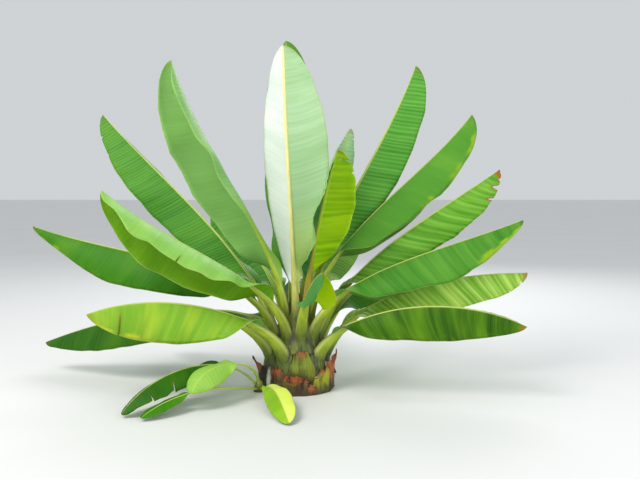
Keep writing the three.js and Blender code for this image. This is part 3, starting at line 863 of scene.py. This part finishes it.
# A look whose two halves differ ends with its left half's colours. In sunlit and shaded the right half
# is painted shade and the left half painted sunlight shining through the sheet, and the tallest leaf's
# under look paints glare on its right half beside the plain pale underside.
leaf_looks = {
    # name: deep, light, flush, banding, crest highlight, patches, burn, edging
    # deep and dark_band are greens painted darker for leaves that stand in shade.
    "deep": ((30, 84, 4), (58, 116, 10), (84, 124, 10), 0.3, 0.2, 0.3, 0.1, 0.4),
    "dark_band": ((28, 72, 0), (84, 134, 12), (116, 158, 26), 0.65, 0.1, 0.5, 0.5, 0.7),
    "mid": ((48, 114, 8), (72, 137, 17), (120, 164, 30), 0.35, 0.2, 0.25, 0.1, 0.5),
    "smooth": ((70, 138, 36), (94, 156, 50), (140, 178, 28), 0.2, 0.1, 0.2, 0.1, 0.5),
    "soft_band": ((54, 122, 26), (94, 156, 50), (140, 178, 28), 0.5, 0.2, 0.0, 0.1, 0.5),
    "fresh": ((100, 156, 44), (142, 192, 76), (166, 192, 60), 0.5, 0.35, 0.3, 0.3, 0.6),
    "bright": ((120, 178, 70), (152, 202, 100), (150, 192, 56), 0.15, 0.1, 0.2, 0.1, 0.7),
    # sunlit: painted shade on the right half, painted sunlight shining through the left half.
    "sunlit": ((40, 100, 50), (62, 124, 66), (150, 184, 14), 0.8, 0.4, 0.25, 0.5, 0.5,
               (128, 184, 0), (178, 222, 8), 1.0),
    "yellowish": ((108, 162, 34), (138, 184, 54), (188, 206, 50), 0.45, 0.25, 0.5, 0.3, 1.0),
    "striped": ((122, 176, 46), (188, 228, 108), (190, 214, 80), 1.0, 0.5, 0.4, 0.7, 0.8),
    "pleated": ((80, 142, 28), (124, 182, 62), (150, 188, 50), 0.9, 0.5, 0.2, 0.9, 0.6),
    "ribbed": ((58, 122, 30), (98, 162, 58), (130, 172, 46), 0.4, 0.5, 0.15, 0.1, 0.7),
    "corrugated": ((64, 136, 38), (108, 178, 70), (130, 176, 50), 0.45, 0.65, 0.1, 0.2, 0.7),
    "teal": ((120, 174, 92), (150, 198, 120), (150, 182, 20), 0.3, 0.2, 0.15, 0.1, 0.6),
    "light": ((158, 204, 146), (186, 224, 174), (160, 190, 90), 0.4, 0.2, 0.2, 0.4, 0.6),
    # shaded: painted shade on the right half, painted sunlight shining through the left half.
    "shaded": ((62, 128, 56), (88, 150, 74), (130, 160, 14), 0.3, 0.2, 0.1, 0.2, 0.3,
               (132, 180, 2), (168, 208, 12), 1.0),
    "two_tone": ((122, 170, 24), (152, 198, 44), (190, 210, 70), 0.2, 0.1, 0.2, 0.1, 0.6,
                 (216, 234, 84), (232, 244, 124), 1.0),
    # glow: painted sunlight shining through the sheet.
    "glow": ((174, 214, 0), (208, 236, 12), (190, 210, 20), 0.3, 0.2, 0.2, 0.1, 0.5),
    "pup_pale": ((132, 184, 64), (164, 208, 94), (180, 210, 80), 0.25, 0.2, 0.2, 0.1, 0.6),
    "under_mid": ((86, 140, 44), (122, 172, 80), (150, 180, 66), 0.35, 0.2, 0.2, 0.1, 0.5),
    "under_olive": ((92, 150, 10), (118, 172, 26), (150, 178, 40), 0.25, 0.2, 0.25, 0.1, 0.8),
    "under_smooth": ((100, 160, 56), (120, 178, 80), (140, 184, 80), 0.2, 0.1, 0.1, 0.1, 0.6),
    "under_pale": ((120, 172, 80), (140, 190, 110), (150, 194, 90), 0.25, 0.1, 0.1, 0.1, 0.6),
    # The tallest leaf's under look: painted glare on the right half, the plain pale underside on the left.
    "bloom_and_glare": ((216, 230, 218), (246, 246, 246), (192, 216, 124), 0.35, 0.15, 0.0, 0.1, 0.8,
              (152, 194, 134), (188, 218, 176), 1.0),
}
finishes(leaf_group, leaf_labels, leaf_looks, 0.16, 0.0003, {"teal": 0.0001}, "leaf_")

# %% [markdown]
# ## Stalk finish
#
# A stalk is smooth and yellow-green with fine fibres, paler towards the leaf and along its rims, and it
# darkens into the sheath below, where purple-brown stains gather. Painted shade darkens the sheath's side
# edges. Its group reads how far along the stalk or the rib a point is, so one material covers all of it.

# %% Stalk group
stalk_inputs = {
    "Sheath": (84, 102, 34), "Petiole": (176, 198, 42), "Rib": (184, 206, 90), "Rim": (212, 216, 130),
    "Blotching": 0.85, "Blotch and seam shade": (64, 52, 54),
}
stalk_group, given, made = effect("stalk_surface", stalk_inputs)
tree = stalk_group
chart = chart_of(tree)
run, along, rim, seam_shade = carried(tree, "run", "along", "rim", "seam_shade")
fibre = noise(tree, chart, 260.0, 3.0, 0.5, (0.12, 1.0, 1.0))
streak = noise(tree, chart, 50.0, 3.0, 0.5, (0.2, 1.0, 1.0))
mottle = noise(tree, object_place(tree), 22.0, 3.0, 0.55, (1.0, 1.0, 0.4))
colour = mixed(tree, between(tree, run, -0.1, 0.9), given["Sheath"], given["Petiole"])
colour = mixed(tree, between(tree, along, 0.0, 0.4), colour, given["Rib"])
streaked = times(tree, between(tree, streak, 0.35, 0.75), between(tree, along, 0.0, 0.25, 0.45, 0.12))
colour = mixed(tree, streaked, colour, given["Sheath"])
colour = mixed(tree, between(tree, fibre, 0.45, 0.7, 0.0, 0.12), colour, given["Rim"])
colour = mixed(tree, times(tree, rim, 0.6), colour, given["Rim"])
low = between(tree, run, -0.5, 0.6, 1.0, 0.0)
stains_and_seam_shade = between(tree, sums(tree, "MULTIPLY_ADD", low, 0.12, mottle), 0.56, 0.72)
stains_and_seam_shade = times(tree, times(tree, stains_and_seam_shade, low), given["Blotching"])
# Painted shade along the sheath's side edges, in the same dark colour as the stains.
stains_and_seam_shade = sums(tree, "MAXIMUM", stains_and_seam_shade, between(tree, seam_shade, 0.3, 0.95, 0.0, 0.92))
colour = mixed(tree, stains_and_seam_shade, colour, given["Blotch and seam shade"])
dull = between(tree, mottle, 0.3, 0.7, 0.4, 0.56)
put_out(tree, made, colour, dull, sums(tree, "MULTIPLY_ADD", fibre, 0.7, mottle))
print("stalk group inputs:", ", ".join(stalk_inputs))

# %% Stalk looks
stalk_looks = {
    # name: sheath, petiole, rib, rim, blotching
    "stalk": ((84, 102, 34), (176, 198, 42), (184, 206, 90), (212, 216, 130), 0.85),
    "stalk_thin": ((168, 192, 80), (198, 222, 102), (184, 206, 90), (212, 216, 130), 0.1),
    "stalk_cream": ((106, 116, 48), (206, 204, 108), (246, 236, 166), (238, 224, 160), 0.85),
    "stalk_rust": ((84, 102, 34), (164, 146, 50), (168, 190, 44), (190, 170, 70), 0.85),
}
finishes(stalk_group, stalk_inputs, stalk_looks, 0.35, 0.0012, {"stalk": 0.0008, "stalk_thin": 0.0005})

# %% [markdown]
# ## Sheath and old-base finish
#
# The trunk is packed sheaths: olive and yellow-green with brown-purple blotches, and painted shade where two
# meet.
# An old cut base dries from its top down, so it goes from olive at the foot to rust at the cut, with
# long fibres and near-black stains. One group does both, with its own colours in each material.

# %% Sheath group
sheath_inputs = {
    "Low": (88, 84, 36), "High": (88, 101, 30), "Dry": (168, 86, 38), "Dry start": 2.0, "Staining": 0.5,
    "Dark stain and shade": (44, 34, 32), "Pale": (200, 206, 190), "Foot": (74, 58, 46), "Groove shade": 0.8,
}
sheath_group, given, made = effect("sheath_surface", sheath_inputs)
tree = sheath_group
chart = chart_of(tree)
place = object_place(tree)
above_ground = node(tree, "SeparateXYZ", {0: place}).outputs[2]
rise, groove_shade, bare = carried(tree, "rise", "groove_shade", "bare")
fibre = noise(tree, chart, 210.0, 4.0, 0.65, (1.0, 0.07, 1.0))
streak = noise(tree, chart, 42.0, 3.0, 0.6, (1.0, 0.2, 1.0))
cloud = noise(tree, place, 14.0, 3.0, 0.55, (1.0, 1.0, 0.5))
colour = mixed(tree, between(tree, rise, 0.0, 0.6), given["Low"], given["High"])
colour = mixed(tree, between(tree, streak, 0.4, 0.75, 0.0, 0.5), colour, given["Low"])
# It dries from the top down along a streaky line, and one margin may show the pale inside.
dried = sums(tree, "MULTIPLY_ADD", cloud, 0.5, sums(tree, "MULTIPLY_ADD", streak, 0.4, rise))
dried = between(tree, sums(tree, "SUBTRACT", dried, given["Dry start"]), 0.3, 0.62)
colour = mixed(tree, dried, colour, given["Dry"])
colour = mixed(tree, bare, colour, given["Pale"])
# Dark fibres, dark stains, a brown foot, and shade where one base goes under the next.
lines = between(tree, fibre, 0.5, 0.72, 0.0, 0.6)
colour = mixed(tree, times(tree, lines, given["Staining"]), colour, given["Dark stain and shade"])
stain = between(tree, sums(tree, "MULTIPLY_ADD", streak, 0.3, cloud), 0.6, 0.8)
colour = mixed(tree, times(tree, stain, given["Staining"]), colour, given["Dark stain and shade"])
foot = sums(tree, "MULTIPLY_ADD", cloud, -0.08, above_ground)
colour = mixed(tree, between(tree, foot, -0.04, 0.04, 0.85, 0.0), colour, given["Foot"])
# Painted shade along the edges of the bases and where one base stands in front of another.
groove_shading = times(tree, between(tree, groove_shade, 0.2, 1.0), given["Groove shade"])
colour = mixed(tree, groove_shading, colour, given["Dark stain and shade"])
dull = between(tree, streak, 0.3, 0.7, 0.5, 0.85)
put_out(tree, made, colour, dull, sums(tree, "MULTIPLY_ADD", fibre, 0.6, streak))
print("sheath group inputs:", ", ".join(sheath_inputs))

# %% Sheath looks
sheath_looks = {
    # name: low, high, dry, where drying starts, staining
    "trunk": ((88, 84, 36), (88, 101, 30), (168, 86, 38), 2.0, 0.42),
    "offshoot_stem": ((150, 150, 90), (160, 180, 80), (168, 86, 38), 2.0, 0.25),
    "husk_green": ((120, 124, 40), (128, 148, 50), (156, 92, 54), 0.8, 0.5),
    "husk_yellow": ((116, 124, 40), (180, 184, 52), (168, 92, 50), 0.74, 0.55),
    "husk_rust": ((84, 74, 44), (122, 104, 50), (176, 96, 54), 0.6, 0.95),
    "husk_brown": ((96, 100, 52), (96, 84, 52), (158, 92, 56), 0.62, 0.9),
    "husk_flap": ((66, 54, 50), (52, 46, 48), (168, 100, 66), 0.85, 0.4),
    "husk_scrap": ((120, 80, 50), (170, 104, 66), (196, 116, 76), 0.5, 0.4),
    "husk_torn": ((74, 70, 42), (120, 96, 60), (184, 106, 68), 0.52, 0.6),
    "husk_in": ((64, 58, 56), (50, 44, 46), (150, 92, 60), 1.1, 0.7),
    "husk_pale": ((186, 194, 178), (196, 204, 190), (160, 96, 54), 0.7, 0.35),
}
finishes(sheath_group, sheath_inputs, sheath_looks, 0.25, 0.003, {"trunk": 0.0014})

# %% [markdown]
# ## Trunk
#
# The trunk is a swollen cone wrapped in leaf bases whose edges run down it at a slant, so they meet in
# low V shapes. Sculpting every base would hide most of the work behind the next one. An upright tube
# takes the trunk's profile here, and each of its points stands out by the highest base that covers it.


# %% Overlapping bases
def lobes(turn, height, starts):
    """How far the highest of several overlapping bases stands out, and how near its edge a point is."""
    relief = np.zeros(len(turn))
    nearest = np.ones(len(turn))
    for azimuth, top, spread, thick in starts:
        off = np.abs((np.degrees(turn) - azimuth + 180) % 360 - 180)
        half = spread * np.sqrt(np.clip((top + 0.03 - height) / 0.4, 0.001, 1.6))
        inside = np.clip(1 - off / half, 0, 1)
        layer = thick * inside**0.35 * step(top + 0.03 - height, 0, 0.03)
        taller = layer > relief
        nearest = np.where(taller, inside, nearest)
        relief = np.where(taller, layer, relief)
    return relief, nearest


def sheathed(turn, width, height, rise, groove_shade):
    """The layers of a piece that is wrapped in sheaths; width is the trunk's or the stem's radius."""
    chart = np.stack([turn * width, height], 1)
    return {"leaf": chart, "rise": rise, "groove_shade": groove_shade, "bare": np.zeros(len(turn))}


trial = lobes(np.radians([0, 10, 20]), np.zeros(3), [(0, 0.2, 30, 0.01)])[0]
print("a base 10 mm thick stands out, at 0, 10 and 20 degrees from its middle:", (trial * 1000).round(1))

# %% Trunk piece
shape, turn, way = tube(160, 84)
height = TRUNK_HEIGHT * way
starts = []
for leaf in leaves.values():
    if leaf["ring"] != "offshoot":
        starts.append((leaf["foot"], leaf["foot_height"], 34, leaf["relief"]))
draw = np.random.default_rng(4)
for k in range(9):
    starts.append((k * 40 + draw.uniform(-8, 8), draw.uniform(0.1, 0.2), 30, 0.013))
relief, nearest = lobes(turn, height, starts)
uneven = wobble(turn * 0.3 + height * 0.3, 0.05, 9) * 0.0012
radius = np.maximum(trunk_radius(height) - 0.006 + relief + uneven, 0.001)
places = around(np.degrees(turn), radius, height)
# The last value paints shade along each base's edge, where it goes under the next one.
layers = sheathed(turn, TRUNK_FOOT, height, height / 0.5, 1 - step(nearest, 0, 0.16))
trunk = piece_from("trunk_sheaths", shape, places, layers, ["trunk"], ["trunk"])
print("trunk:", len(trunk.data.vertices), "points, relief up to", round(relief.max() * 1000, 1), "mm")

# %% [markdown]
# ## Old leaf bases
#
# When a leaf dies its stalk is cut or rots off, and the base stays as a curved shield that leans off the
# trunk. Each one is a grid bent round the trunk by the rule of its solid, with a ragged top, rolled
# margins, and a Solidify modifier that is thinner towards the top.

# %% Husks
# flare is how far the top leans out and stand how far the foot does; point narrows the top and slant
# tilts it. peel is the side that has come away, and bare the side whose margin shows the pale inside.
husk_columns = ("azimuth", "half_angle", "bottom", "top", "flare", "point", "slant", "stand", "peel", "bare",
                "outer", "inner")
husk_rows = {
    "husk_left_flap": (195, 22, 0.05, 0.24, 0.098, 0.3, -0.3, 0.012, -1, 0, "husk_flap", "husk_in"),
    "husk_front_left": (237, 22, 0.0, 0.215, 0.038, 0.3, -0.1, 0.004, 0, -1, "husk_brown", "husk_pale"),
    "husk_front_upper": (280, 25, 0.1, 0.312, 0.012, 0.45, 0.0, 0.0, 0, 0, "husk_green", "husk_in"),
    "husk_front_lower": (271, 24, 0.0, 0.16, 0.043, 0.3, -0.14, 0.009, 0, 0, "husk_rust", "husk_in"),
    "husk_front_scrap": (295, 9, 0.0, 0.085, 0.024, 0.4, -0.2, 0.006, 0, 0, "husk_scrap", "husk_in"),
    "husk_right": (316, 21, 0.0, 0.215, 0.032, 0.3, 0.22, 0.002, 0, 0, "husk_yellow", "husk_pale"),
    "husk_right_flap": (336, 16, 0.01, 0.3, 0.09, 0.3, 0.3, 0.0, 1, -1, "husk_torn", "husk_in"),
    "husk_back_right": (24, 21, 0.0, 0.18, 0.034, 0.3, 0.2, 0.004, 0, 0, "husk_rust", "husk_in"),
    "husk_back": (62, 23, 0.0, 0.16, 0.04, 0.35, -0.2, 0.008, 0, 1, "husk_brown", "husk_pale"),
    "husk_back_upper": (98, 19, 0.0, 0.195, 0.03, 0.3, 0.0, 0.0, 0, 0, "husk_green", "husk_in"),
    "husk_back_left": (136, 22, 0.0, 0.17, 0.036, 0.35, 0.2, 0.006, 0, 0, "husk_yellow", "husk_in"),
}
HUSK_THICKNESS = 0.014
HUSK_GAP = 0.0003


def make_husk(name, husk, seed):
    across, tall = ((56, 44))
    sheet = bmesh.new()
    bmesh.ops.create_grid(sheet, x_segments=across, y_segments=tall, size=1)
    spots = points_of(sheet)
    side = spots[:, 0]
    share = (spots[:, 1] + 1) / 2
    whole = husk["peel"] == 0
    slant = husk["slant"]
    ragged = wobble(side, 0.5, seed) * 0.05 + wobble(side, 0.12, seed + 1) * 0.03
    ragged = ragged - 0.12 * np.abs(side) ** 2.5 * whole + slant * (side - np.sign(slant)) / 1.4
    height = lerp(husk["bottom"], husk["top"], share * (1 + ragged * share**2))
    angle = husk["half_angle"] * (1 - husk["point"] * share**2) * side
    thick = HUSK_THICKNESS * lerp(1, 0.4, share)
    peeled = 1.0 if whole else step(side * husk["peel"], -0.9, 1.0)
    radius = trunk_radius(height) + HUSK_GAP + husk["flare"] * share**1.6 * peeled + thick / 2
    radius = radius + husk["stand"] * (1 - share * 0.5)
    radius = radius + wobble(side * husk["half_angle"], 9, seed + 2) * 0.0025 + 0.005 * (1 - side**2)
    radius = radius + 0.003 * wobble(share, 0.3, seed + 3) * share
    margin = (not whole) * step(side * husk["peel"], -0.35, 0.1) * 0.6 * step(share, 0.1, 0.5)
    # Painted shade over the foot of an upper base, where a lower base stands in front of it, added to the
    # painted shade along the side and top edges.
    hidden_shade = (husk["bottom"] > 0.08) * (1 - step(share + 0.14 * side + ragged, 0.08, 0.42)) * 0.75
    layers = {
        "leaf": np.stack([np.radians(angle) * TRUNK_FOOT + seed, height], 1),
        "rise": share + margin - 0.22 * side**2 * whole,
        "groove_shade": step(np.abs(side), 0.9, 1.0) * 0.9 + step(share, 0.965, 1.0) * 0.6 + hidden_shade,
        "bare": step(side * husk["bare"], 0.4, 0.52) * 0.9,
    }
    places = around(husk["azimuth"] + angle, radius, height)
    piece = piece_from(name + "_base", sheet, places, layers, [husk["outer"], husk["inner"]], [name])
    weights = piece.vertex_groups.new(name="thickness")
    for level in range(tall + 1):
        row = np.nonzero(np.abs(share - level / tall) < 1e-4)[0]
        weights.add([int(k) for k in row], lerp(1, 0.35, level / tall), "REPLACE")
    thickened(piece, HUSK_THICKNESS * 0.95).vertex_group = "thickness"


for seed, (name, row) in enumerate(husk_rows.items()):
    make_husk(name, dict(zip(husk_columns, row)), seed + 40)
print(len(husk_rows), "old bases")

# %% Offshoot stem
shape, turn, way = tube(32, 24)
height = OFFSHOOT_HEIGHT * np.sin(way * np.pi / 2)
starts = [(186, 0.07, 60, 0.004), (249, 0.06, 60, 0.003), (296, 0.04, 70, 0.005)]
relief, nearest = lobes(turn, height, starts)
radius = np.maximum(offshoot_radius(height) - 0.004 + relief, 0.0005)
places = around(np.degrees(turn), radius, height) + offshoot_place
# The last value paints shade along each base's edge, where it goes under the next one.
layers = sheathed(turn, OFFSHOOT_FOOT, height, height / OFFSHOOT_HEIGHT, 1 - step(nearest, 0, 0.1))
piece_from("offshoot_stem_sheaths", shape, places, layers, ["offshoot_stem"], ["offshoot_stem"])
print("offshoot stem stands", round(float(np.linalg.norm(offshoot_place)), 3), "m from the trunk's middle")

# %% [markdown]
# ## Dressing each leaf
#
# No two leaves look alike, and their looks carry painted light: the shaded ones are painted deep green,
# the ones with the sun through them painted yellow green, and the tallest shows its pale, bloom-covered
# underside with glare painted on one half. Random numbers could vary them, but a row for each leaf can
# follow the real one: its looks, and what differs from the plain dress.

# %% Leaf dress
dress_rows = {
    "leaf_left_lowest": own("deep", 0.0004, ripple=0.004, ragged=0.006, sharp=(0.2, 0.2)),
    "leaf_left_low": own("yellowish", 0.0012, slot="sunlit_blade", pitch=0.06, ripple=0.005, ragged=0.01,
                         gilt=[(1, 0.62, 1.0, 0.1)], slits=[(1, 0.77, 0.72, 0.014, 0.006)]),
    "leaf_left_long": own("mid", 0.0005, ripple=0.006, ragged=0.01, sharp=(0.5, 0.5),
                          gilt=[(1, 0.82, 1.0, 0.08)]),
    "leaf_left_tented": own("bright", 0.0005, under="under_olive", ripple=0.014, wave=0.24, forward=0.1,
                            angular=(0.2, 0.02), slim=(-0.2, 0.0), sharp=(0.0, 0.2),
                            slits=[(1, 0.51, 0.34, 0.014, 0.0)]),
    "leaf_left_ribbed": own("ribbed", 0.0014, pitch=0.024, ripple=0.008, wave=0.35, camber=0.06,
                            angular=(0.05, 0.05), fray=0.12),
    "leaf_left_tall": own("teal", 0.0004, under="under_pale", ripple=0.012, wave=0.34,
                          angular=(0.04, 0.04), slim=(0.45, 0.0), gilt=[(1, 0.0, 0.14, 1.2)]),
    "leaf_front_tallest": own("mid", 0.0006, under="bloom_and_glare", stalk="stalk_cream", slot="pale_blade",
                              ripple=0.004, sway=1, slim=(0.14, 0.14), gilt=[(1, 0.0, 0.06, 1.2)]),
    "leaf_back_tallest": own("smooth", 0.001, under="under_smooth"),
    "leaf_front_sunlit": own("teal", 0.0035, under="sunlit", stalk="stalk_rust", slot="sunlit_blade",
                             pitch=0.07, ripple=0.012, slim=(0.25, 0.4), fray=1.0,
                             holes=[(1, 0.9, 0.4, 0.02, 0.1)]),
    "leaf_back_upright": own("light", 0.003, under="light", ragged=0.05, fray=0.8),
    "leaf_right_tall": own("corrugated", 0.0028, ripple=0.006, angular=(0.04, 0.04)),
    "leaf_right_upper": own("smooth", 0.0004, wave=0.4, angular=(0.07, 0.07),
                            gilt=[(-1, 0.7, 0.76, 0.1), (-1, 0.84, 0.92, 0.16), (-1, 0.5, 0.56, 0.05)]),
    "leaf_right_pleated": own("pleated", 0.0034, pitch=0.05, ripple=0.008, forward=0.7,
                              angular=(0.05, 0.05), fray=0.9,
                              slits=[(-1, 0.93, 0.3, 0.03, 0.01), (-1, 0.86, 0.4, 0.04, 0.014),
                                     (-1, 0.77, 0.22, 0.03, 0.0)]),
    "leaf_right_long": own("soft_band", 0.0008, under="under_smooth", pitch=0.06, ripple=0.008,
                           angular=(0.04, 0.04), sharp=(0.35, 0.35), gilt=[(-1, 0.74, 1.0, 0.2)]),
    "leaf_right_striped": own("striped", 0.003, under="yellowish", pitch=0.046, forward=0.5, fray=0.3),
    "leaf_right_low": own("dark_band", 0.0012, pitch=0.08, ripple=0.008, sharp=(0.15, 0.15)),
    "leaf_front_short": own("shaded", 0.002, under="glow", slot="sunlit_blade", less=(0.0, 0.3)),
    "leaf_back_low_right": own("mid", 0.002, slits=[(1, 0.7, 0.5, 0.02, 0.014)]),
    "leaf_back_low": own("deep", 0.002, slits=[(-1, 0.55, 0.6, 0.02, 0.014)]),
    "leaf_back_low_left": own("mid", 0.0015, pitch=0.05, slits=[(1, 0.8, 0.4, 0.02, 0.014)]),
    "leaf_back_high_right": own("fresh", 0.0025, slits=[(-1, 0.75, 0.5, 0.03, 0.02)]),
    "leaf_back_high_left": own("ribbed", 0.002, pitch=0.045, slits=[(1, 0.65, 0.4, 0.02, 0.012)]),
    "offshoot_leaf_long": own("deep", 0.001, stalk="stalk_thin", pitch=0.02, ripple=0.011, curl=4,
                              ragged=0.06, angular=(0.16, 0.06), fray=0.7,
                              slits=[(1, 0.52, 0.6, 0.026, 0.02), (1, 0.7, 0.4, 0.016, 0.014)]),
    "offshoot_leaf_pale": own("pup_pale", 0.001, under="pup_pale", stalk="stalk_thin", slot="pale_blade",
                              ripple=0.006, curl=4),
    "offshoot_leaf_low": own("mid", 0.0008, stalk="stalk_thin", pitch=0.02, ripple=0.004, curl=3),
    "offshoot_leaf_front": own("two_tone", 0.0008, stalk="stalk_thin", slot="sunlit_blade", pitch=0.03,
                               ripple=0.005, curl=3),
}
faces = 0
for seed, (name, leaf) in enumerate(leaves.items()):
    blade = make_blade(name, leaf, dress_rows[name], 100 + 20 * seed)
    stalk = make_stalk(name, leaf, dress_rows[name], 800 + 3 * seed)
    faces += 4 * len(blade.data.polygons) + 2 * len(stalk.data.polygons)
print("leaves dressed, about", faces, "triangles")
